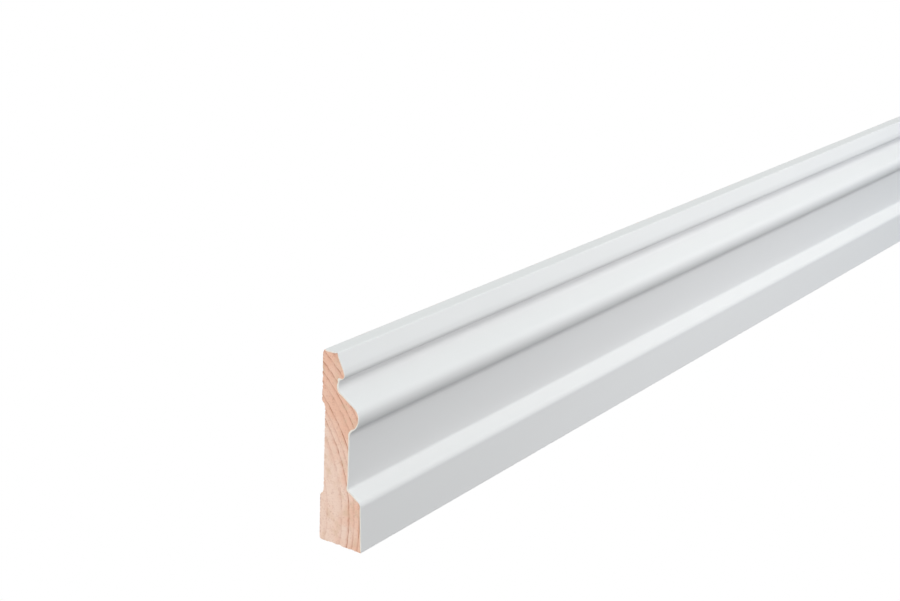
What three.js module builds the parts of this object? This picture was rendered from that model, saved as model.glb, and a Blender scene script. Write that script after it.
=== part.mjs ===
// A run of primed softwood skirting board: one solid with a moulded front, a relieved back and
// square sawn ends. X runs along the length, -Y faces the room and +Y the wall, and Z is up.
// The origin is the middle of the underside. Sizes are in millimetres.

import * as THREE from "three";

// Overall size
const LENGTH = 550;
const THICKNESS = 18;
const HEIGHT = 69;

// Foot: the plain band at the floor, with a face that leans back a little
const FOOT_HEIGHT = 17.85;
const FOOT_LEAN = 0.8;
const FOOT_TOP_RADIUS = 3;
const FOOT_ARRIS_RADIUS = 0.3;

// Fascia: the flat middle band, set back from the front plane
const FASCIA_SETBACK = 6.15;
const FASCIA_BOTTOM = 21.55;
const FASCIA_BOTTOM_HOLLOW = 1.6;
const FASCIA_TOP = 42.25;
const FASCIA_TOP_HOLLOW = 3.2;

// Torus: the large bead over the fascia
const TORUS_SETBACK = 2.2;
const TORUS_BOTTOM = 45.2;
const TORUS_BOTTOM_RADIUS = 5.3;
const TORUS_SHOULDER_SETBACK = 2.7;
const TORUS_SHOULDER = 50.4;
const TORUS_SHOULDER_RADIUS = 4.4;

// Quirk: the sunk neck between the slope of the torus and the top bead
const QUIRK_SETBACK = 11.6;
const QUIRK_BOTTOM = 56.25;
const QUIRK_BOTTOM_RADIUS = 2.7;
const QUIRK_TOP_SETBACK = 10.85;
const QUIRK_TOP = 59.6;
const QUIRK_TOP_RADIUS = 0.6;

// Top bead, and the flat top edge behind it
const BEAD_BOTTOM_SETBACK = 8.3;
const BEAD_BOTTOM = 60.7;
const BEAD_BOTTOM_RADIUS = 2;
const BEAD_SHOULDER_SETBACK = 9.2;
const BEAD_SHOULDER = 63.7;
const BEAD_SHOULDER_RADIUS = 6.3;
const TOP_EDGE_SETBACK = 11.9;
const TOP_EDGE_RADIUS = 0.7;

// Back: two pads that bear on the wall, with a shallow relief between them
const BACK_TOP_RADIUS = 0.8;
const BACK_BOTTOM_RADIUS = 1;
const RELIEF_DEPTH = 1.35;
const RELIEF_BOTTOM = 16.6;
const RELIEF_TOP = 50.9;
const RELIEF_SHOULDER = 2;
const RELIEF_RADIUS = 0.6;

// Pieces of curve in each half of a rounded corner
const CORNER_SEGMENTS = 6;

const PRIMER_WHITE = 0xeef1f0;

// Front corners from the floor up, each as depth behind the front plane, height and radius.
const frontCorners = [
  [0, 0, FOOT_ARRIS_RADIUS],
  [FOOT_LEAN, FOOT_HEIGHT, FOOT_TOP_RADIUS],
  [FASCIA_SETBACK, FASCIA_BOTTOM, FASCIA_BOTTOM_HOLLOW],
  [FASCIA_SETBACK, FASCIA_TOP, FASCIA_TOP_HOLLOW],
  [TORUS_SETBACK, TORUS_BOTTOM, TORUS_BOTTOM_RADIUS],
  [TORUS_SHOULDER_SETBACK, TORUS_SHOULDER, TORUS_SHOULDER_RADIUS],
  [QUIRK_SETBACK, QUIRK_BOTTOM, QUIRK_BOTTOM_RADIUS],
  [QUIRK_TOP_SETBACK, QUIRK_TOP, QUIRK_TOP_RADIUS],
  [BEAD_BOTTOM_SETBACK, BEAD_BOTTOM, BEAD_BOTTOM_RADIUS],
  [BEAD_SHOULDER_SETBACK, BEAD_SHOULDER, BEAD_SHOULDER_RADIUS],
  [TOP_EDGE_SETBACK, HEIGHT, TOP_EDGE_RADIUS],
];

// Back corners from the top down, in the same form.
const reliefFloor = THICKNESS - RELIEF_DEPTH;
const backCorners = [
  [THICKNESS, HEIGHT, BACK_TOP_RADIUS],
  [THICKNESS, RELIEF_TOP, RELIEF_RADIUS],
  [reliefFloor, RELIEF_TOP - RELIEF_SHOULDER, RELIEF_RADIUS],
  [reliefFloor, RELIEF_BOTTOM + RELIEF_SHOULDER, RELIEF_RADIUS],
  [THICKNESS, RELIEF_BOTTOM, RELIEF_RADIUS],
  [THICKNESS, 0, BACK_BOTTOM_RADIUS],
];

// A closed shape through the corners, with an arc of the given radius at each one.
function roundedShape(corners) {
  const points = corners.map(([x, y]) => new THREE.Vector2(x, y));
  const shape = new THREE.Shape();
  points.forEach((corner, i) => {
    const radius = corners[i][2];
    const back = points.at(i - 1).clone().sub(corner).normalize();
    const ahead = points[(i + 1) % points.length].clone().sub(corner).normalize();
    const halfAngle = Math.acos(back.dot(ahead)) / 2;
    const toCentre = back.clone().add(ahead).setLength(radius / Math.sin(halfAngle));
    const reach = radius / Math.tan(halfAngle);
    const centre = corner.clone().add(toCentre);
    const start = corner.clone().addScaledVector(back, reach).sub(centre);
    const end = corner.clone().addScaledVector(ahead, reach).sub(centre);
    const clockwise = start.cross(end) < 0;
    shape.absarc(centre.x, centre.y, radius, start.angle(), end.angle(), clockwise);
  });
  return shape;
}

// The section is drawn with depth across and height up, and its length runs out of the drawing.
function boardMesh() {
  const section = roundedShape([...frontCorners, ...backCorners]);
  const geometry = new THREE.ExtrudeGeometry(section, {
    depth: LENGTH,
    curveSegments: CORNER_SEGMENTS,
    bevelEnabled: false,
  });
  const material = new THREE.MeshStandardMaterial({
    color: PRIMER_WHITE,
    roughness: 0.45,
    metalness: 0,
  });
  const board = new THREE.Mesh(geometry, material);
  board.name = "skirting_board";
  const drawingAxes = new THREE.Matrix4().makeBasis(
    new THREE.Vector3(0, 1, 0),
    new THREE.Vector3(0, 0, 1),
    new THREE.Vector3(1, 0, 0),
  );
  board.quaternion.setFromRotationMatrix(drawingAxes);
  board.position.set(-LENGTH / 2, -THICKNESS / 2, 0);
  return board;
}

const skirting = new THREE.Group();
skirting.add(boardMesh());

export default skirting;
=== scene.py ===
"""A run of primed softwood skirting board on a white stage, laid out as an add-on.

The frame holds the board's solid. This file gives it one fine piece: the same section carried
along the length, with sawn ends that show growth rings inside a thin rim of primer, and a bare
planed back. Sizes are in metres. X runs along the board, -Y faces the room and Z is up.
"""

import bpy
import numpy as np
from bpy.props import FloatProperty, FloatVectorProperty, IntProperty, PointerProperty
from mathutils import Euler, Matrix, Vector


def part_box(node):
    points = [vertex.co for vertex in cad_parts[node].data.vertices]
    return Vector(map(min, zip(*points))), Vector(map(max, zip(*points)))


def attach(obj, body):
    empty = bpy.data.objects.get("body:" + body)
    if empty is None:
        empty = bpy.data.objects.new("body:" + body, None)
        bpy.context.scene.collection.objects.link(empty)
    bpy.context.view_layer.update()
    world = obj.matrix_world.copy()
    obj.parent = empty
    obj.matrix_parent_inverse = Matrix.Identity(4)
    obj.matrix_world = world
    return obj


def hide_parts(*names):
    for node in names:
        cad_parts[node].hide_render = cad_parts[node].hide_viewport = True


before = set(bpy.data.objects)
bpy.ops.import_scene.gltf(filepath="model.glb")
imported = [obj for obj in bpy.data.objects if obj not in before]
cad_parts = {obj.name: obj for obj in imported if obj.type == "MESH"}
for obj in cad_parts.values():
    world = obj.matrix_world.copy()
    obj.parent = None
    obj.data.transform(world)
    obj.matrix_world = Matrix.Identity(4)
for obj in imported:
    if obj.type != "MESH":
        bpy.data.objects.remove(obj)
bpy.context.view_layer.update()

bl_info = {
    "name": "Primed Skirting Board",
    "version": (1, 0, 0),
    "blender": (4, 5, 0),
    "location": "3D View > Sidebar > Skirting",
    "description": "Builds a run of primed softwood skirting board and the stage it stands on",
    "category": "Add Mesh",
}

CAD_NODE = "skirting_board"
PIECE = "primed_board"
MM = 0.001
SEED = 7

LOWEST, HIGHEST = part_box(CAD_NODE)

# Order of the board's materials
PRIMED, PLANED, SAWN = range(3)


def corner(name, what, setback, height, radius):
    """A corner of the section: its distance behind the front plane, its height and its radius."""
    return FloatVectorProperty(
        name=name,
        description=what + ": setback, height and radius",
        size=3,
        subtype="XYZ",
        unit="LENGTH",
        precision=4,
        default=(setback * MM, height * MM, radius * MM),
    )


def length(name, what, value, **limits):
    """A length whose default is given in millimetres."""
    return FloatProperty(
        name=name, description=what, unit="LENGTH", precision=5, default=value * MM, **limits
    )


def share(name, what, value):
    """A number from nought to one."""
    return FloatProperty(
        name=name, description=what, subtype="FACTOR", min=0.0, max=1.0, default=value
    )


def colour(name, what, red, green, blue):
    """A linear colour."""
    return FloatVectorProperty(
        name=name, description=what, subtype="COLOR", min=0.0, max=2.0, default=(red, green, blue)
    )


def power(name, what, value):
    """The power of a light."""
    return FloatProperty(name=name, description=what, unit="POWER", min=0.0, default=value)


def strength(name, what, value):
    """How strongly a surface or the surround gives off light."""
    return FloatProperty(name=name, description=what, min=0.0, default=value)


class SkirtingSection(bpy.types.PropertyGroup):
    """The section's corners, from the floor up the front and down the back."""

    foot_arris: corner("Foot arris", "Front edge at the floor", 0, 0, 0.3)
    foot_top: corner("Top of the foot", "Where the foot turns into the splay", 0.8, 17.85, 3)
    fascia_bottom: corner("Fascia bottom", "Hollow under the fascia", 6.15, 21.55, 1.6)
    fascia_top: corner("Fascia top", "Hollow over the fascia", 6.15, 42.25, 3.2)
    torus_bottom: corner("Torus bottom", "Underside of the torus", 2.2, 45.2, 5.3)
    torus_shoulder: corner("Torus shoulder", "Where the torus turns into its slope", 2.7, 50.4, 4.4)
    quirk_bottom: corner("Quirk bottom", "Foot of the sunk neck", 11.6, 56.25, 2.7)
    quirk_top: corner("Quirk top", "Top of the sunk neck", 10.85, 59.6, 0.6)
    bead_bottom: corner("Bead bottom", "Underside of the top bead", 8.3, 60.7, 2)
    bead_shoulder: corner("Bead shoulder", "Front of the top bead", 9.2, 63.7, 6.3)
    top_edge: corner("Top edge", "Where the bead meets the flat top", 11.9, 69, 0.7)
    back_top: corner("Back top", "Back edge of the top", 18, 69, 0.8)
    relief_top: corner("Relief top", "Upper lip of the relief", 18, 50.9, 0.6)
    relief_ceiling: corner("Relief ceiling", "Upper end of the relief's floor", 16.65, 48.9, 0.6)
    relief_sill: corner("Relief sill", "Lower end of the relief's floor", 16.65, 18.6, 0.6)
    relief_bottom: corner("Relief bottom", "Lower lip of the relief", 18, 16.6, 0.6)
    back_bottom: corner("Back bottom", "Back edge at the floor", 18, 0, 1)


class SkirtingFinish(bpy.types.PropertyGroup):
    """The primer, the wood and the marks of the saw."""

    primer: colour("Primer", "Colour of the primer", 0.78, 0.782, 0.782)
    primer_roughness: share("Primer roughness", "Roughness of the primer", 0.55)
    primer_shine: share("Primer shine", "Strength of the primer's reflection", 0.35)
    coat: length("Coat", "Thickness of the primer seen on the sawn end", 0.4, min=0.0)
    coat_stop: length("Coat stop", "Bare strip along the back of the top", 1.2, min=0.0)
    coat_edge: colour("Coat edge", "Colour of the primer where the saw cut it", 0.86, 0.83, 0.77)
    pale_wood: colour("Pale wood", "Earlywood near the pith", 0.91, 0.69, 0.58)
    warm_wood: colour("Warm wood", "Earlywood of the outer rings", 0.87, 0.545, 0.41)
    tan_wood: colour("Tan wood", "Patches that carry less resin", 0.78, 0.55, 0.40)
    orange_wood: colour("Orange wood", "The later half of a ring", 0.82, 0.43, 0.28)
    # The latewood colour also paints the shade of the chips along a sawn end's back edge.
    latewood: colour("Latewood", "The dark line at the end of a ring", 0.42, 0.13, 0.07)
    pith: FloatVectorProperty(
        name="Pith",
        description="Place of the pith, across and up",
        size=2,
        unit="LENGTH",
        default=(53.2 * MM, 10.6 * MM),
    )
    saw_relief: length("Saw relief", "Depth of the sawn end's roughness", 0.05, min=0.0)
    chipping: length("Chipping", "Depth of the chips along a sawn edge", 0.22, min=0.0)
    fibres: IntProperty(
        name="Fibres", description="Short loose fibres at the back of a sawn end", min=0, default=9
    )


class SkirtingStage(bpy.types.PropertyGroup):
    """The camera, the lights and the floor."""

    camera_place: FloatVectorProperty(
        name="Camera place",
        description="Where the camera stands",
        subtype="TRANSLATION",
        unit="LENGTH",
        default=(-0.668312, -0.305469, 0.251225),
    )
    camera_turn: FloatVectorProperty(
        name="Camera turn",
        description="Turn of the camera about X, Y and Z",
        subtype="EULER",
        unit="ROTATION",
        default=(np.radians(71.9371), np.radians(-2.4353), np.radians(-55.2399)),
    )
    lens: FloatProperty(
        name="Lens", description="Focal length of the camera, in millimetres", default=64.781
    )
    level_colour: colour("Level colour", "Colour of the level light", 1.08, 1.0, 0.95)
    overhead_colour: colour("Overhead colour", "Colour of the light from above", 0.87, 1.01, 1.05)
    room_glow: strength("Room glow", "Light from high on the room's side", 1.62)
    wall_glow: strength("Wall glow", "Light from high on the wall's side", 0.66)
    low_glow: strength("Low glow", "Light from below", 0.58)
    end_power: power("End light", "Power of the light on the sawn end", 14.6)
    end_colour: colour("End light colour", "Colour of the light on the sawn end", 0.985, 1.0, 1.0)
    far_power: power("Far light", "Power of the light beside the far end", 3.8)
    far_colour: colour("Far light colour", "Colour of the light by the far end", 0.77, 0.98, 1.2)
    front_power: power("Front light", "Power of the light near the front", 0.28)
    front_colour: colour(
        "Front light colour", "Colour of the light near the front", 1.06, 1.0, 0.98
    )
    floor_glow: strength("Floor glow", "Light that the floor and the backdrop give off", 1.0)


# Section

FRONT_CORNERS = (
    "foot_arris", "foot_top", "fascia_bottom", "fascia_top", "torus_bottom", "torus_shoulder",
    "quirk_bottom", "quirk_top", "bead_bottom", "bead_shoulder", "top_edge",
)
BACK_CORNERS = (
    "back_top", "relief_top", "relief_ceiling", "relief_sill", "relief_bottom", "back_bottom",
)
ARC_STEPS = 12
ROW_LATTICE = 0.05 * MM
ROW_STEPS = 7
COLUMNS = 56
COLUMN_CROWDING = 0.09


def rounded(corners):
    """Arcs at the corners of a closed outline, as an array of corners by steps by two.

    An arc's centre lies on the bisector of its corner's two edges, at radius / sin(half the angle)
    from the corner, and it touches them at radius / tan(half the angle) from the corner.
    """
    points, radii = corners[:, :2], corners[:, 2:]
    back = np.roll(points, 1, axis=0) - points
    ahead = np.roll(points, -1, axis=0) - points
    back /= np.linalg.norm(back, axis=1, keepdims=True)
    ahead /= np.linalg.norm(ahead, axis=1, keepdims=True)
    half_angle = np.arccos((back * ahead).sum(axis=1, keepdims=True)) / 2
    bisector = (back + ahead) / np.linalg.norm(back + ahead, axis=1, keepdims=True)
    centre = points + bisector * radii / np.sin(half_angle)
    reach = radii / np.tan(half_angle)
    start = points + back * reach - centre
    end = points + ahead * reach - centre
    start_angle = np.arctan2(start[:, 1], start[:, 0])
    end_angle = np.arctan2(end[:, 1], end[:, 0])
    sweep = (end_angle - start_angle + np.pi) % (2 * np.pi) - np.pi
    angle = start_angle[:, None] + sweep[:, None] * np.linspace(0, 1, ARC_STEPS + 1)
    return centre[:, None, :] + radii[:, :, None] * np.stack([np.cos(angle), np.sin(angle)], axis=2)


def section_grid(section):
    """The whole section as rows of points, from the front outline across to the back outline.

    Every row has one height. A point is front(height) + share * (back(height) - front(height)),
    and the shares lie closer together near both faces.
    """
    names = FRONT_CORNERS + BACK_CORNERS
    corners = np.array([getattr(section, name)[:] for name in names])
    arcs = rounded(corners)
    front = arcs[: len(FRONT_CORNERS)].reshape(-1, 2)
    back = arcs[len(FRONT_CORNERS):].reshape(-1, 2)[::-1]
    steps = np.round(np.concatenate([front[:, 1], back[:, 1]]) / ROW_LATTICE).astype(int)
    even = np.arange(0, steps.max() + 1, ROW_STEPS)
    heights = np.unique(np.concatenate([steps, even])) * ROW_LATTICE
    front_line = np.interp(heights, front[:, 1], front[:, 0])
    back_line = np.interp(heights, back[:, 1], back[:, 0])
    even_share = np.linspace(0, 1, COLUMNS + 1)
    shares = even_share - np.sin(2 * np.pi * even_share) * COLUMN_CROWDING
    across = front_line[:, None] + shares * (back_line - front_line)[:, None]
    up = np.broadcast_to(heights[:, None], across.shape)
    return across - across.max() + HIGHEST.y, up.copy()


def outline_indices(rows, columns):
    """The grid's border as one loop: up the front, over the top, down the back, along the floor."""
    index = np.arange(rows * columns).reshape(rows, columns)
    return np.concatenate([index[:, 0], index[-1, 1:], index[-2::-1, -1], index[0, -2:0:-1]])


def as_points(across, up):
    """Two grids of places as one list of points."""
    return np.stack([across.ravel(), up.ravel()], axis=1)


# Primer on the outline

COAT_SPREAD = 1.5 * MM
COAT_DRAW = 1.6
BATCHES = 40


def primed_stretch(outline, rows, columns, coat_stop):
    """Which points of the outline are primed: up the front and over the top, short of the back."""
    order = np.arange(len(outline))
    on_top = (order < rows + columns) & (outline[:, 0] < HIGHEST.y - coat_stop)
    return (order < rows) | on_top


def nearest_on_line(points, line):
    """Each point's least distance to a chain of segments, and the index of that segment.

    The points are taken in batches, which keeps the arrays small.
    """
    start, step = line[:-1], np.diff(line, axis=0)
    squared = (step ** 2).sum(axis=1)
    distance = np.empty(len(points))
    segment = np.empty(len(points), int)
    for batch in np.array_split(np.arange(len(points)), BATCHES):
        offset = points[batch, None, :] - start
        along = np.clip((offset * step).sum(axis=2) / squared, 0, 1)
        gap = ((offset - along[:, :, None] * step) ** 2).sum(axis=2)
        segment[batch] = gap.argmin(axis=1)
        distance[batch] = np.sqrt(gap.min(axis=1))
    return distance, segment


def coat_thinning(outline):
    """How much thinner the primer is at each point of the primed outline, in metres.

    Wet primer draws back from an arris and pools in a hollow. A point's value is COAT_DRAW times
    its distance outside the outline's average over COAT_SPREAD either way.
    """
    step = np.diff(outline, axis=0)
    along = np.concatenate([[0], np.cumsum(np.hypot(step[:, 0], step[:, 1]))])
    even = np.arange(0, along[-1], ROW_LATTICE)
    track = np.stack([np.interp(even, along, outline[:, axis]) for axis in (0, 1)], axis=1)
    half = round(COAT_SPREAD / ROW_LATTICE)
    total = np.pad(track, ((half + 1, half), (0, 0)), mode="edge").cumsum(axis=0)
    average = (total[2 * half + 1:] - total[: -2 * half - 1]) / (2 * half + 1)
    heading = np.gradient(track, axis=0)
    heading /= np.linalg.norm(heading, axis=1, keepdims=True)
    outward = np.stack([-heading[:, 1], heading[:, 0]], axis=1)
    standing = ((track - average) * outward).sum(axis=1)
    return np.interp(along, even, standing) * COAT_DRAW


def bare_distances(points, coated):
    """Each point's distance to the primed outline, counted as more where the primer is thinner."""
    distance, segment = nearest_on_line(points, coated)
    return distance + coat_thinning(coated)[segment]


# Sawn ends

CHIP_REACH = 0.8 * MM
CHIP_LENGTH = 0.4 * MM
CHIP_SINK = 0.4
FINEST_CHIP = 0.45 * MM
CREST_LEVEL = 0.5
FRONT_CHIPPING = 0.2
ROUGHNESS_LENGTH = 0.5 * MM
WAVE_COUNT = 24
WAVE_SPREAD = 5

# Nicks in the left end's bare edges, each as its place, depth and half width in millimetres:
# the place is a height on the back edge, and a distance behind the front plane on the floor edge.
BACK_NICKS = ((68.6, 0.35, 0.6), (59.7, 0.2, 0.35), (56.4, 0.35, 0.3), (55.2, 0.25, 0.3))
FLOOR_NICKS = ((9.4, 0.38, 0.7), (12.6, 0.25, 0.8), (4.1, 0.18, 0.5))


def waves(across, up, finest, random):
    """Uneven relief from about -2 to 2: sine waves of many directions and lengths, added up."""
    heading = random.uniform(0, 2 * np.pi, WAVE_COUNT)
    wavelength = finest * random.uniform(1, WAVE_SPREAD, WAVE_COUNT)
    shift = random.uniform(0, 2 * np.pi, WAVE_COUNT)
    level = np.zeros_like(across)
    for turn, size, start in zip(heading, wavelength, shift):
        level += np.sin((across * np.cos(turn) + up * np.sin(turn)) * 2 * np.pi / size + start)
    return level / np.sqrt(WAVE_COUNT)


def chips(along, depth, nicks, random):
    """How deep an edge is chipped along its course: the crests of fine waves, and the nicks.

    A nick sinks the edge by depth * exp(-(distance / half width) squared).
    """
    crest = np.clip(waves(along, along * 0, FINEST_CHIP, random) - CREST_LEVEL, 0, 1)
    sunk = crest * depth
    for place, nick_depth, half_width in nicks:
        sunk += nick_depth * MM * np.exp(-((along / MM - place) / half_width) ** 2)
    return sunk


def chipped(across, up, finish, nicks, random):
    """The section's grid with its borders moved inwards, which dies away towards the middle.

    A point moves by the border's chip * exp(-distance from the border / CHIP_REACH).
    """
    back_nicks, floor_nicks = nicks
    front = chips(up[:, 0], finish.chipping * FRONT_CHIPPING, (), random)
    back = chips(up[:, -1], finish.chipping, back_nicks, random)
    floor = chips(across[0] - LOWEST.y, finish.chipping, floor_nicks, random)
    top = chips(across[-1] - LOWEST.y, finish.chipping * FRONT_CHIPPING, (), random)
    moved_across = (
        across
        + front[:, None] * np.exp(-(across - across[:, :1]) / CHIP_REACH)
        - back[:, None] * np.exp(-(across[:, -1:] - across) / CHIP_REACH)
    )
    moved_up = up + floor * np.exp(-up / CHIP_REACH) - top * np.exp(-(up.max() - up) / CHIP_REACH)
    return moved_across, moved_up


def sawn_end(across, up, side, finish, nicks, random):
    """One end's vertices, and how far each is moved across and up from the flat section.

    A point sinks by the relief of the saw, and by CHIP_SINK of its move where its edge is chipped.
    """
    flat = as_points(across, up)
    moved = as_points(*chipped(across, up, finish, nicks, random))
    shift = moved - flat
    rough = waves(flat[:, 0], flat[:, 1], ROUGHNESS_LENGTH, random)
    sawn = np.clip(rough + 1, 0, 2) / 2 * finish.saw_relief
    sink = sawn + np.linalg.norm(shift, axis=1) * CHIP_SINK
    return np.column_stack([side * (HIGHEST.x - sink), moved]), shift


# Loose fibres

FIBRE_SIDES = 5
FIBRE_RINGS = 6
FIBRE_RADIUS = 0.06 * MM
FIBRE_TAPER = 1.1
FIBRE_FOOT = 0.15 * MM
LOWEST_FIBRE = 21 * MM
HIGHEST_FIBRE = 47 * MM
SHORTEST_FIBRE = 0.2 * MM
LONGEST_SHORT_FIBRE = 0.6 * MM
LONG_FIBRE_HEIGHT = 40 * MM
LONG_FIBRE_REACH = 1.1 * MM

# How far a fibre leans inwards, outwards and up or down, and how far it bends, for each unit of
# its reach behind the board
INWARD_LEAN = 0.4
OUTWARD_LEAN = 0.05
UPRIGHT_LEAN = 0.5
BEND = 0.4


def torn_fibres(back_line, heights, side, count, random):
    """Fibres torn loose in the relief at a sawn end, as vertices, walls and caps.

    They stand at random heights, and one is long. Each leans and bends at random, and its lean
    and its bend grow with its reach behind the board.
    """
    height = np.append(random.uniform(LOWEST_FIBRE, HIGHEST_FIBRE, count), LONG_FIBRE_HEIGHT)
    reach = np.append(random.uniform(SHORTEST_FIBRE, LONGEST_SHORT_FIBRE, count), LONG_FIBRE_REACH)
    total = len(height)
    root = np.column_stack([
        np.full(total, side * (HIGHEST.x - FIBRE_RADIUS * 2)),
        np.interp(height, heights, back_line) - FIBRE_FOOT,
        height,
    ])
    lean = np.column_stack([
        side * random.uniform(-INWARD_LEAN, OUTWARD_LEAN, total),
        np.ones(total),
        random.uniform(-UPRIGHT_LEAN, UPRIGHT_LEAN, total),
    ])
    step = lean * reach[:, None]
    bend = np.zeros_like(step)
    bend[:, 2] = random.uniform(-BEND, BEND, total) * reach
    return spindles(root, step, bend)


def spindles(root, step, bend):
    """Closed tapering tubes along root + s * step + s squared * bend, for s from nought to one.

    The radius at s is FIBRE_RADIUS * (FIBRE_TAPER - s).
    """
    along = np.linspace(0, 1, FIBRE_RINGS)[None, :, None]
    centre = root[:, None] + along * step[:, None] + along ** 2 * bend[:, None]
    direction = step / np.linalg.norm(step, axis=1, keepdims=True)
    first = np.cross(direction, [0.0, 0.0, 1.0])
    first /= np.linalg.norm(first, axis=1, keepdims=True)
    second = np.cross(direction, first)
    turn = np.arange(FIBRE_SIDES) * 2 * np.pi / FIBRE_SIDES
    circle = first[:, None] * np.cos(turn)[:, None] + second[:, None] * np.sin(turn)[:, None]
    radius = FIBRE_RADIUS * (FIBRE_TAPER - along)
    vertices = centre[:, :, None] + radius[..., None] * circle[:, None]
    base = np.arange(len(root))[:, None, None] * FIBRE_RINGS * FIBRE_SIDES
    ring = base + np.arange(FIBRE_RINGS - 1)[None, :, None] * FIBRE_SIDES
    here = ring + np.arange(FIBRE_SIDES)
    beside = ring + np.roll(np.arange(FIBRE_SIDES), -1)
    walls = np.stack([here, beside, beside + FIBRE_SIDES, here + FIBRE_SIDES], axis=-1)
    root_caps = base[:, 0] + np.arange(FIBRE_SIDES)[::-1]
    tip_caps = base[:, 0] + (FIBRE_RINGS - 1) * FIBRE_SIDES + np.arange(FIBRE_SIDES)
    return vertices.reshape(-1, 3), walls.reshape(-1, 4), np.concatenate([root_caps, tip_caps])


# Board

END_RINGS = 22
FIRST_RING = 0.12 * MM
BOX_TOLERANCE = 0.1 * MM


class SKIRTING_OT_board(bpy.types.Operator):
    """Carry the section along the length and finish its faces"""

    bl_idname = "skirting.board"
    bl_label = "Board"
    bl_options = {"REGISTER", "UNDO"}

    def execute(self, context):
        section, finish = context.scene.skirting_section, context.scene.skirting_finish
        board = build_board(section, finish)
        for material in (primer(finish), planed_pine(finish), sawn_pine(finish)):
            board.data.materials.append(material)
        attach(board, "root")
        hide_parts(CAD_NODE)
        return {"FINISHED"}


def build_board(section, finish):
    """The board as one mesh: two end grids joined by rings of the outline, and the loose fibres."""
    across, up = section_grid(section)
    past_front, past_top = across.min() - LOWEST.y, up.max() - HIGHEST.z
    if max(abs(past_front), abs(past_top)) > BOX_TOLERANCE:
        raise RuntimeError("the section doesn't fill the box of the CAD node")
    rows, columns = across.shape
    loop = outline_indices(rows, columns)
    flat = as_points(across, up)
    outline = flat[loop]
    primed = primed_stretch(outline, rows, columns, finish.coat_stop)
    bare_distance = bare_distances(flat, outline[primed])

    random = np.random.default_rng(SEED)
    ends, shifts, fibres = [], [], []
    for side, nicks in ((-1, (BACK_NICKS, FLOOR_NICKS)), (1, ((), ()))):
        end, shift = sawn_end(across, up, side, finish, nicks, random)
        ends.append(end)
        shifts.append(shift[loop])
        fibres.append(torn_fibres(across[:, -1], up[:, -1], side, finish.fibres, random))
    rings = rings_along(outline, *shifts)

    vertices = [*ends, rings.reshape(-1, 3)]
    faces, slots = board_faces(loop, rows, columns, primed, len(rings))
    for points, walls, caps in fibres:
        first = sum(map(len, vertices))
        faces += (walls + first).tolist() + (caps + first).tolist()
        slots += [SAWN] * (len(walls) + len(caps))
        vertices.append(points)

    mesh = bpy.data.meshes.new(PIECE)
    mesh.from_pydata(np.concatenate(vertices).tolist(), [], faces)
    mesh.polygons.foreach_set("material_index", slots)
    mesh.shade_smooth()
    mark_sharp_ends(mesh)
    along_run = np.tile(bare_distance[loop], len(rings))
    keep_bare_distance(mesh, np.concatenate([bare_distance, bare_distance, along_run]))
    mesh.update()
    if mesh.validate():
        raise RuntimeError("the board's mesh has faulty faces")
    board = bpy.data.objects.new(PIECE, mesh)
    bpy.context.scene.collection.objects.link(board)
    return board


def geometric_places(count, first, half):
    """Places along the length, from -half to half, which crowd towards both ends."""
    from_end = np.concatenate([[0], np.geomspace(first, half, count)])
    return np.concatenate([from_end - half, (half - from_end)[-2::-1]])


def rings_along(outline, left_shift, right_shift):
    """The outline repeated along the length, between the two ends.

    A ring's point is the outline's point plus each end's shift * exp(-distance from that end /
    CHIP_LENGTH), so a chip in a sawn edge dies away along the board.
    """
    places = geometric_places(END_RINGS, FIRST_RING, HIGHEST.x)
    from_left = (places - places[0])[1:-1, None, None]
    from_right = (places[-1] - places)[1:-1, None, None]
    middle = (
        outline
        + left_shift * np.exp(-from_left / CHIP_LENGTH)
        + right_shift * np.exp(-from_right / CHIP_LENGTH)
    )
    lengthways = np.broadcast_to(places[1:-1, None, None], middle.shape[:2] + (1,))
    return np.concatenate([lengthways, middle], axis=2)


def board_faces(loop, rows, columns, primed, ring_count):
    """The faces of both ends and of the walls between one ring and the next, and their slots."""
    grid = np.arange(rows * columns).reshape(rows, columns)
    cells = np.stack([grid[:-1, :-1], grid[1:, :-1], grid[1:, 1:], grid[:-1, 1:]], axis=2)
    left = cells.reshape(-1, 4)[:, ::-1]
    right = cells.reshape(-1, 4) + grid.size
    inner = 2 * grid.size + np.arange(ring_count * len(loop)).reshape(ring_count, len(loop))
    ring = np.concatenate([loop[None], inner, grid.size + loop[None]])
    ahead = np.roll(ring, -1, axis=1)
    walls = np.stack([ring[:-1], ring[1:], ahead[1:], ahead[:-1]], axis=2).reshape(-1, 4)
    primed_wall = np.tile(primed & np.roll(primed, -1), len(ring) - 1)
    faces = np.concatenate([left, right, walls]).tolist()
    slots = [SAWN] * (len(left) + len(right)) + np.where(primed_wall, PRIMED, PLANED).tolist()
    return faces, slots


def mark_sharp_ends(mesh):
    """Marks as sharp every edge between a sawn face and a face of the run."""
    slots = np.empty(len(mesh.polygons), np.int32)
    corners = np.empty(len(mesh.polygons), np.int32)
    edge_of_corner = np.empty(len(mesh.loops), np.int32)
    mesh.polygons.foreach_get("material_index", slots)
    mesh.polygons.foreach_get("loop_total", corners)
    mesh.loops.foreach_get("edge_index", edge_of_corner)
    corner_is_sawn = np.repeat(slots == SAWN, corners)
    sawn = np.zeros(len(mesh.edges), bool)
    run = np.zeros(len(mesh.edges), bool)
    sawn[edge_of_corner[corner_is_sawn]] = True
    run[edge_of_corner[~corner_is_sawn]] = True
    sharp = mesh.attributes.new("sharp_edge", "BOOLEAN", "EDGE")
    sharp.data.foreach_set("value", sawn & run)


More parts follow.
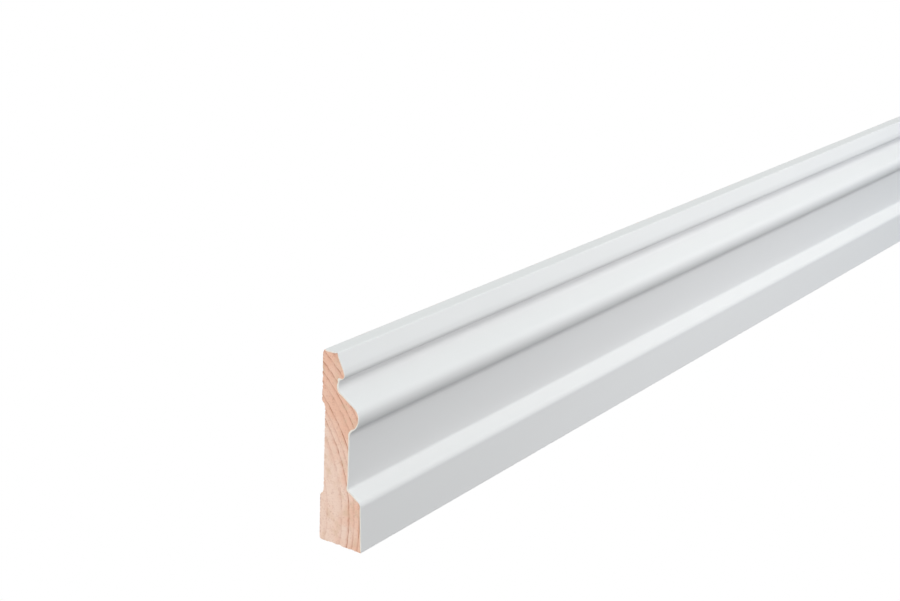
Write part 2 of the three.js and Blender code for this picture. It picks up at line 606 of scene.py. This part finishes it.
def keep_bare_distance(mesh, on_board):
    """Writes the distance to the primed outline to the mesh, in millimetres.

    The fibres come after the board's own vertices. They are bare, so theirs is half the thickness.
    """
    distance = np.full(len(mesh.vertices), HIGHEST.y)
    distance[: len(on_board)] = on_board
    attribute = mesh.attributes.new("bare_distance", "FLOAT", "POINT")
    attribute.data.foreach_set("value", (distance / MM).astype(np.float32))


# Nodes of a material


def node(tree, kind, inputs, **settings):
    """Adds a node, gives it its settings, and links or sets its inputs."""
    made = tree.nodes.new(kind)
    for name, value in settings.items():
        setattr(made, name, value)
    for key, value in inputs.items():
        if isinstance(value, bpy.types.NodeSocket):
            tree.links.new(value, made.inputs[key])
        else:
            made.inputs[key].default_value = value
    return made


def maths(tree, operation, *values):
    """The output of a Math node."""
    return node(tree, "ShaderNodeMath", dict(enumerate(values)), operation=operation).outputs[0]


def vector_maths(tree, operation, *values):
    """The vector output of a Vector Math node."""
    inputs = dict(enumerate(values))
    return node(tree, "ShaderNodeVectorMath", inputs, operation=operation).outputs[0]


def blend(tree, factor, first, second):
    """The output of a colour Mix node."""
    made = node(tree, "ShaderNodeMix", {0: factor, 6: first, 7: second}, data_type="RGBA")
    return made.outputs[2]


def ramp(tree, value, low, high, to_low=0.0, to_high=1.0):
    """A smooth rise from to_low, where value is low, to to_high, where it is high."""
    inputs = {0: value, 1: low, 2: high, 3: to_low, 4: to_high}
    made = node(tree, "ShaderNodeMapRange", inputs, interpolation_type="SMOOTHSTEP")
    return made.outputs[0]


def stretched(tree, place, along, across):
    """The place in millimetres, scaled by one number along the board and another across it."""
    inputs = {"Vector": place, "Scale": (along / MM, across / MM, across / MM)}
    return node(tree, "ShaderNodeMapping", inputs).outputs[0]


def noise_node(tree, place, pattern):
    """A Noise texture of a pattern: its repeats along and across, and its detail."""
    along, across, detail = pattern
    inputs = {"Vector": stretched(tree, place, along, across), "Scale": 1.0, "Detail": detail}
    return node(tree, "ShaderNodeTexNoise", inputs)


def noise(tree, place, pattern):
    """The value of a pattern of noise."""
    return noise_node(tree, place, pattern).outputs["Fac"]


def noise_shift(tree, place, pattern, reach):
    """A vector of noise across the board, from about -reach / 2 to reach / 2."""
    varied = noise_node(tree, place, pattern).outputs["Color"]
    centred = vector_maths(tree, "SUBTRACT", varied, (0.5, 0.5, 0.5))
    return vector_maths(tree, "MULTIPLY", centred, (0.0, reach, reach))


def curve(tree, value, points):
    """The output of a Float Curve with straight pieces between its points."""
    made = node(tree, "ShaderNodeFloatCurve", {"Value": value})
    line = made.mapping.curves[0].points
    line[0].location, line[-1].location = points[0], points[-1]
    for place in points[1:-1]:
        line.new(*place)
    for point in line:
        point.handle_type = "VECTOR"
    made.mapping.update()
    return made.outputs[0]


def add_bump(tree, shader, height, depth):
    """Bumps of a depth in metres, from a height of about nought to one."""
    bump = node(tree, "ShaderNodeBump", {"Height": height, "Strength": 1.0, "Distance": depth})
    tree.links.new(bump.outputs[0], shader.inputs["Normal"])


def colour_of(value):
    """A colour with full alpha."""
    return (*value, 1.0)


def object_place(tree):
    """The Object coordinates."""
    return node(tree, "ShaderNodeTexCoord", {}).outputs["Object"]


def bare_distance_of(tree):
    """The distance to the primed outline, in millimetres."""
    return node(tree, "ShaderNodeAttribute", {}, attribute_name="bare_distance").outputs["Fac"]


def new_material(name):
    """An empty material and its Principled shader."""
    material = bpy.data.materials.new(name)
    material.use_nodes = True
    shader = material.node_tree.nodes["Principled BSDF"]
    return material, material.node_tree, shader


# Growth rings

# Growth lines on the left end: each one's distance from the pith in millimetres and its strength
GROWTH_LINES = (
    (42.8, 0.2), (47.7, 0.15), (54.0, 0.2), (57.0, 0.9), (59.1, 0.4), (61.4, 1.0),
    (64.9, 0.3), (67.3, 0.9), (70.1, 0.8), (73.3, 0.65), (75.3, 0.35),
)
LINE_SHARPNESS = 7.0
ORANGE_SHARPNESS = 3.0

# How far the rings wander slowly and tremble finely, in millimetres
WANDER = 0.8
TREMBLE = 0.6

# Where the wood turns from pale to warm, in millimetres from the pith
WARM_FROM, WARM_TO = 50.0, 66.0

# Patterns of noise, here and below: repeats per millimetre along the board, repeats per
# millimetre across it, and detail
RING_WANDER = (0.006, 0.03, 2.0)
RING_TREMBLE = (0.02, 0.5, 2.0)
LINE_BREAKS = (0.05, 0.45, 3.0)

# Effects of a pattern, here and below: while its value rises from the first number to the second,
# the effect goes from the third number to the fourth or, where there are two, from nought to one
BREAK_STRENGTH = (0.35, 0.62, 0.5, 1.2)


def growth_rings(tree, place, finish):
    """Rings about the pith: how much latewood, orange wood and warmth a place has.

    The distance from the pith, which wanders a little along the board, gives a count of rings by a
    curve through GROWTH_LINES. Latewood is a high power of the count's fraction, and the orange
    wood before it a low power.
    """
    pith = node(tree, "ShaderNodeMapping", {
        "Vector": place,
        "Location": (0.0, -finish.pith[0] / MM, -finish.pith[1] / MM),
        "Scale": (0.0, 1 / MM, 1 / MM),
    }).outputs[0]
    wander = noise_shift(tree, place, RING_WANDER, WANDER)
    tremble = noise_shift(tree, place, RING_TREMBLE, TREMBLE)
    moved = vector_maths(tree, "ADD", vector_maths(tree, "ADD", pith, wander), tremble)
    radius = node(tree, "ShaderNodeVectorMath", {0: moved}, operation="LENGTH").outputs["Value"]

    first, last = GROWTH_LINES[0][0], GROWTH_LINES[-1][0]
    share_out = node(tree, "ShaderNodeMapRange", {0: radius, 1: first, 2: last}).outputs[0]
    shares = [(line - first) / (last - first) for line, _ in GROWTH_LINES]
    count = len(GROWTH_LINES) - 1
    counted = curve(tree, share_out, [(at, i / count) for i, at in enumerate(shares)])
    fraction = maths(tree, "FRACT", maths(tree, "MULTIPLY", counted, float(count)))

    strengths = [(at, strong) for at, (_, strong) in zip(shares, GROWTH_LINES)]
    breaks = ramp(tree, noise(tree, place, LINE_BREAKS), *BREAK_STRENGTH)
    marked = maths(tree, "MULTIPLY", curve(tree, share_out, strengths), breaks)
    late = maths(tree, "MULTIPLY", maths(tree, "POWER", fraction, LINE_SHARPNESS), marked)
    orange = maths(tree, "MULTIPLY", maths(tree, "POWER", fraction, ORANGE_SHARPNESS), marked)
    return late, orange, ramp(tree, radius, WARM_FROM, WARM_TO)


# Bare wood

WOOD_CLOUDS = (0.05, 0.16, 3.0)
CLOUD_WARMTH = (0.3, 0.7, -0.3, 0.3)
TAN_PATCHES = (0.03, 0.28, 2.0)
TAN_STRENGTH = (0.5, 0.72, 0.0, 0.7)
ORANGE_STRENGTH = 0.5


def bare_wood(tree, place, finish):
    """Bare pine: its share of latewood, and its colour, which warms outwards from the pith."""
    late, orange, warmth = growth_rings(tree, place, finish)
    warmer = maths(tree, "ADD", warmth, ramp(tree, noise(tree, place, WOOD_CLOUDS), *CLOUD_WARMTH))
    early = blend(tree, warmer, colour_of(finish.pale_wood), colour_of(finish.warm_wood))
    tan = ramp(tree, noise(tree, place, TAN_PATCHES), *TAN_STRENGTH)
    early = blend(tree, tan, early, colour_of(finish.tan_wood))
    tinged = maths(tree, "MULTIPLY", orange, ORANGE_STRENGTH)
    later = blend(tree, tinged, early, colour_of(finish.orange_wood))
    return late, blend(tree, late, later, colour_of(finish.latewood))


# Primer

PRIMER_CLOUDS = (0.01, 0.05, 3.0)
CLOUD_STRENGTH = (0.3, 0.7)
CLOUD_SHADE = 0.985
ROUGHNESS_SPREAD = 0.03
PRIMER_PEEL = (0.9, 1.4, 2.0)
PRIMER_GRAIN = (0.03, 1.8, 2.0)
PRIMER_BUMP = 0.004 * MM


def primer(finish):
    """Satin primer: nearly even white, with faint unevenness from the machine that laid it."""
    material, tree, shader = new_material("satin_primer")
    place = object_place(tree)
    cloudy = noise(tree, place, PRIMER_CLOUDS)
    darker = colour_of(value * CLOUD_SHADE for value in finish.primer)
    shade = blend(tree, ramp(tree, cloudy, *CLOUD_STRENGTH), colour_of(finish.primer), darker)
    tree.links.new(shade, shader.inputs["Base Color"])
    smoothest = finish.primer_roughness - ROUGHNESS_SPREAD
    roughest = finish.primer_roughness + ROUGHNESS_SPREAD
    rough = ramp(tree, cloudy, *CLOUD_STRENGTH, smoothest, roughest)
    tree.links.new(rough, shader.inputs["Roughness"])
    shader.inputs["Specular IOR Level"].default_value = finish.primer_shine
    peel, grain = noise(tree, place, PRIMER_PEEL), noise(tree, place, PRIMER_GRAIN)
    add_bump(tree, shader, maths(tree, "ADD", peel, grain), PRIMER_BUMP)
    return material


# Planed back

PLANED_STREAKS = (0.02, 2.2, 3.0)
STREAK_STRENGTH = (0.35, 0.75, 0.0, 0.16)
STREAK_ROUGHNESS = (0.3, 0.7, 0.55, 0.68)
STREAK_HEIGHT = 1.4

# Primer past the arris: its ragged edge, how far it reaches in millimetres, and how it fades out
STRAY_EDGE = (0.25, 0.6, 4.0)
STRAY_REACH = 2.4
STRAY_FADE = (-0.6, 0.1, 1.0, 0.0)

# Marks of the planer's cutter: their stretch along the board and across it, and their scale
CUTTER_ALONG, CUTTER_ACROSS = 1.0, 0.02
CUTTER_SCALE = 0.17
CUTTER_WAVER = 0.4
CUTTER_HEIGHT = 0.25
PLANED_BUMP = 0.02 * MM


def planed_pine(finish):
    """Bare planed pine on the back and the underside, with primer that strays over the arris."""
    material, tree, shader = new_material("planed_pine")
    place = object_place(tree)
    late, wood = bare_wood(tree, place, finish)
    streaks = noise(tree, place, PLANED_STREAKS)
    streaked = ramp(tree, streaks, *STREAK_STRENGTH)
    darker = blend(tree, streaked, wood, colour_of(finish.latewood))
    ragged = maths(tree, "MULTIPLY", noise(tree, place, STRAY_EDGE), STRAY_REACH)
    inner = maths(tree, "SUBTRACT", bare_distance_of(tree), ragged)
    shade = blend(tree, ramp(tree, inner, *STRAY_FADE), darker, colour_of(finish.primer))
    tree.links.new(shade, shader.inputs["Base Color"])
    tree.links.new(ramp(tree, streaks, *STREAK_ROUGHNESS), shader.inputs["Roughness"])
    cutter = node(tree, "ShaderNodeTexWave", {
        "Vector": stretched(tree, place, CUTTER_ALONG, CUTTER_ACROSS),
        "Scale": CUTTER_SCALE,
        "Distortion": CUTTER_WAVER,
    }, bands_direction="X").outputs["Fac"]
    marks = maths(tree, "MULTIPLY", cutter, CUTTER_HEIGHT)
    height = maths(tree, "ADD", maths(tree, "MULTIPLY", streaks, STREAK_HEIGHT), marks)
    add_bump(tree, shader, maths(tree, "ADD", height, late), PLANED_BUMP)
    return material


# Sawn end grain

PORES = (0.5, 2.0, 3.0)
PORE_STRENGTH = (0.52, 0.75, 0.0, 0.34)
# Painted shade of the chips along a sawn end's back edge: a pattern of dark flecks, their strength,
# and the strip of the end they lie in
CHIP_SHADE_FLECKS = (0.2, 0.9, 2.0)
CHIP_SHADE_STRENGTH = (0.42, 0.6, 0.0, 0.6)
CHIP_SHADE_STRIP = 0.7 * MM

# Rim of primer: its ragged edge, by how much, and where it is full and gone past the coat's
# thickness, in millimetres
RIM_EDGE = (0.3, 0.9, 3.0)
RIM_RAGGEDNESS = 0.16
RIM_FULL, RIM_GONE = -0.1, 0.02

TORN_GRAIN = (1.0, 3.5, 4.0)
LATEWOOD_HEIGHT = 0.6
SAWN_ROUGHNESS = 0.8
SAWN_BUMP = 0.04 * MM


def sawn_pine(finish):
    """Sawn end grain inside a thin ragged rim of primer, with painted shade of chips flecked along
    the back edge.
    """
    material, tree, shader = new_material("sawn_pine")
    place = object_place(tree)
    late, wood = bare_wood(tree, place, finish)
    pores = ramp(tree, noise(tree, place, PORES), *PORE_STRENGTH)
    flecked = blend(tree, pores, wood, colour_of(finish.latewood))
    depth = node(tree, "ShaderNodeSeparateXYZ", {0: place}).outputs["Y"]
    # Painted shade: latewood-coloured flecks near the back edge stand in for the shadows of its
    # chips.
    near_back = ramp(tree, depth, HIGHEST.y - CHIP_SHADE_STRIP, HIGHEST.y)
    chip_shade_flecks = ramp(tree, noise(tree, place, CHIP_SHADE_FLECKS), *CHIP_SHADE_STRENGTH)
    painted_chip_shade = maths(tree, "MULTIPLY", near_back, chip_shade_flecks)
    flecked = blend(tree, painted_chip_shade, flecked, colour_of(finish.latewood))
    ragged = maths(tree, "MULTIPLY", noise(tree, place, RIM_EDGE), RIM_RAGGEDNESS)
    inner = maths(tree, "SUBTRACT", bare_distance_of(tree), ragged)
    coat = finish.coat / MM
    rim = ramp(tree, inner, coat + RIM_FULL, coat + RIM_GONE, 1.0, 0.0)
    shade = blend(tree, rim, flecked, colour_of(finish.coat_edge))
    tree.links.new(shade, shader.inputs["Base Color"])
    shader.inputs["Roughness"].default_value = SAWN_ROUGHNESS
    lines = maths(tree, "MULTIPLY", late, LATEWOOD_HEIGHT)
    height = maths(tree, "ADD", noise(tree, place, TORN_GRAIN), lines)
    add_bump(tree, shader, height, SAWN_BUMP)
    return material


# Stage

SENSOR_WIDTH = 36.0
CLIP_END = 200.0
FLOOR_HALF = 12.0
FLOOR_DROP = 0.2 * MM
LARGE_SOFTBOX = 1.4
SMALL_SOFTBOX = 0.2
END_LIGHT_PLACE = (-1.5, 0.95, 0.1)
FAR_LIGHT_PLACE = (0.9, -0.9, 0.15)
FRONT_LIGHT_PLACE = (0.03, -0.4, 0.11)

# Middle of each glow, in degrees about the board's length, and how tightly the glow gathers there:
# 0 is level on the room's side, 90 is overhead and -90 is straight below.
ROOM_GLOW_MIDDLE, ROOM_GLOW_TIGHTNESS = 46, 7.0
WALL_GLOW_MIDDLE, WALL_GLOW_TIGHTNESS = 125, 2.5
LOW_GLOW_MIDDLE, LOW_GLOW_TIGHTNESS = -90, 7.0

BLACK, WHITE = (0.0, 0.0, 0.0, 1.0), (1.0, 1.0, 1.0, 1.0)


class SKIRTING_OT_stage(bpy.types.Operator):
    """Set the camera, the lights, the floor and the backdrop"""

    bl_idname = "skirting.stage"
    bl_label = "Stage"
    bl_options = {"REGISTER", "UNDO"}

    def execute(self, context):
        stage = context.scene.skirting_stage
        context.scene.camera = add_camera(stage)
        add_light("end_light", END_LIGHT_PLACE, LARGE_SOFTBOX, stage.end_power, stage.end_colour)
        add_light("far_light", FAR_LIGHT_PLACE, LARGE_SOFTBOX, stage.far_power, stage.far_colour)
        add_light(
            "front_light", FRONT_LIGHT_PLACE, SMALL_SOFTBOX, stage.front_power, stage.front_colour
        )
        add_surround(context.scene, stage)
        add_floor(stage)
        context.scene.view_settings.view_transform = "Standard"
        return {"FINISHED"}


def add_camera(stage):
    """The camera, at the photograph's place and turn."""
    data = bpy.data.cameras.new("camera")
    data.lens = stage.lens
    data.sensor_width = SENSOR_WIDTH
    data.clip_end = CLIP_END
    camera = bpy.data.objects.new("camera", data)
    camera.matrix_world = Matrix.LocRotScale(stage.camera_place, Euler(stage.camera_turn), None)
    bpy.context.scene.collection.objects.link(camera)
    return camera


def add_light(name, place, size, energy, tint):
    """A square softbox that looks at the middle of the board."""
    data = bpy.data.lights.new(name, "AREA")
    data.energy = energy
    data.color = tint
    data.size = size
    light = bpy.data.objects.new(name, data)
    light.location = place
    light.rotation_mode = "QUATERNION"
    light.rotation_quaternion = (-Vector(place)).to_track_quat("-Z", "Y")
    light.visible_camera = False
    bpy.context.scene.collection.objects.link(light)


def soft_glow(tree, across, degrees, tightness, peak):
    """One glow's light: peak * exp(tightness * (c - 1)).

    Here c is the cosine of the angle between the direction across the board and the glow's middle.
    """
    middle = (0.0, -np.cos(np.radians(degrees)), np.sin(np.radians(degrees)))
    cosine = node(tree, "ShaderNodeVectorMath", {0: across, 1: middle}, operation="DOT_PRODUCT")
    fall = maths(tree, "SUBTRACT", cosine.outputs["Value"], 1.0)
    light = maths(tree, "EXPONENT", maths(tree, "MULTIPLY", fall, tightness))
    return maths(tree, "MULTIPLY", light, peak)


def add_surround(scene, stage):
    """A soft light from all round: three broad glows that run parallel to the board.

    Its colour goes from the level to the overhead one with the square of the direction's height.
    """
    world = bpy.data.worlds.new("surround")
    world.use_nodes = True
    tree = world.node_tree
    direction = node(tree, "ShaderNodeTexCoord", {}).outputs["Generated"]
    flattened = vector_maths(tree, "MULTIPLY", direction, (0.0, 1.0, 1.0))
    across = vector_maths(tree, "NORMALIZE", flattened)
    room = soft_glow(tree, across, ROOM_GLOW_MIDDLE, ROOM_GLOW_TIGHTNESS, stage.room_glow)
    wall = soft_glow(tree, across, WALL_GLOW_MIDDLE, WALL_GLOW_TIGHTNESS, stage.wall_glow)
    low = soft_glow(tree, across, LOW_GLOW_MIDDLE, LOW_GLOW_TIGHTNESS, stage.low_glow)
    bright = maths(tree, "ADD", maths(tree, "ADD", room, wall), low)
    height = node(tree, "ShaderNodeSeparateXYZ", {0: direction}).outputs["Z"]
    overhead = maths(tree, "MULTIPLY", height, height)
    tint = blend(tree, overhead, colour_of(stage.level_colour), colour_of(stage.overhead_colour))
    background = tree.nodes["Background"]
    tree.links.new(tint, background.inputs["Color"])
    tree.links.new(bright, background.inputs["Strength"])
    scene.world = world


def add_floor(stage):
    """A white floor and a backdrop far behind it, which both stay out of the board's own light."""
    half, low, high = FLOOR_HALF, LOWEST.z - FLOOR_DROP, FLOOR_HALF
    corners = [(-half, -half), (half, -half), (half, half), (-half, half)]
    vertices = [(x, y, low) for x, y in corners] + [(x, y, high) for x, y in corners]
    faces = [(0, 1, 2, 3)] + [(i, i + 4, (i + 1) % 4 + 4, (i + 1) % 4) for i in range(4)]
    mesh = bpy.data.meshes.new("floor")
    mesh.from_pydata(vertices, [], faces)
    material, _, shader = new_material("white_floor")
    shader.inputs["Base Color"].default_value = BLACK
    shader.inputs["Roughness"].default_value = 1.0
    shader.inputs["Specular IOR Level"].default_value = 0.0
    shader.inputs["Emission Color"].default_value = WHITE
    shader.inputs["Emission Strength"].default_value = stage.floor_glow
    mesh.materials.append(material)
    floor = bpy.data.objects.new("floor", mesh)
    bpy.context.scene.collection.objects.link(floor)
    floor.visible_diffuse = False
    floor.visible_glossy = False
    floor.visible_shadow = False


class VIEW3D_PT_skirting(bpy.types.Panel):
    """Lists what the add-on builds"""

    bl_label = "Skirting"
    bl_space_type = "VIEW_3D"
    bl_region_type = "UI"
    bl_category = "Skirting"

    def draw(self, context):
        scene = context.scene
        for title, group, operator in (
            ("Section", scene.skirting_section, None),
            ("Finish", scene.skirting_finish, SKIRTING_OT_board),
            ("Stage", scene.skirting_stage, SKIRTING_OT_stage),
        ):
            box = self.layout.box()
            box.label(text=title)
            for name in group.__annotations__:
                box.prop(group, name)
            if operator:
                box.operator(operator.bl_idname)


CLASSES = (
    SkirtingSection, SkirtingFinish, SkirtingStage,
    SKIRTING_OT_board, SKIRTING_OT_stage, VIEW3D_PT_skirting,
)


def register():
    """Adds the classes, and the three groups of settings to the scene."""
    for item in CLASSES:
        bpy.utils.register_class(item)
    bpy.types.Scene.skirting_section = PointerProperty(type=SkirtingSection)
    bpy.types.Scene.skirting_finish = PointerProperty(type=SkirtingFinish)
    bpy.types.Scene.skirting_stage = PointerProperty(type=SkirtingStage)


def unregister():
    """Takes the groups of settings and the classes away again."""
    del bpy.types.Scene.skirting_stage
    del bpy.types.Scene.skirting_finish
    del bpy.types.Scene.skirting_section
    for item in reversed(CLASSES):
        bpy.utils.unregister_class(item)


def main():
    """Builds the board and the stage."""
    register()
    bpy.ops.skirting.board()
    bpy.ops.skirting.stage()


if __name__ == "__main__":
    main()
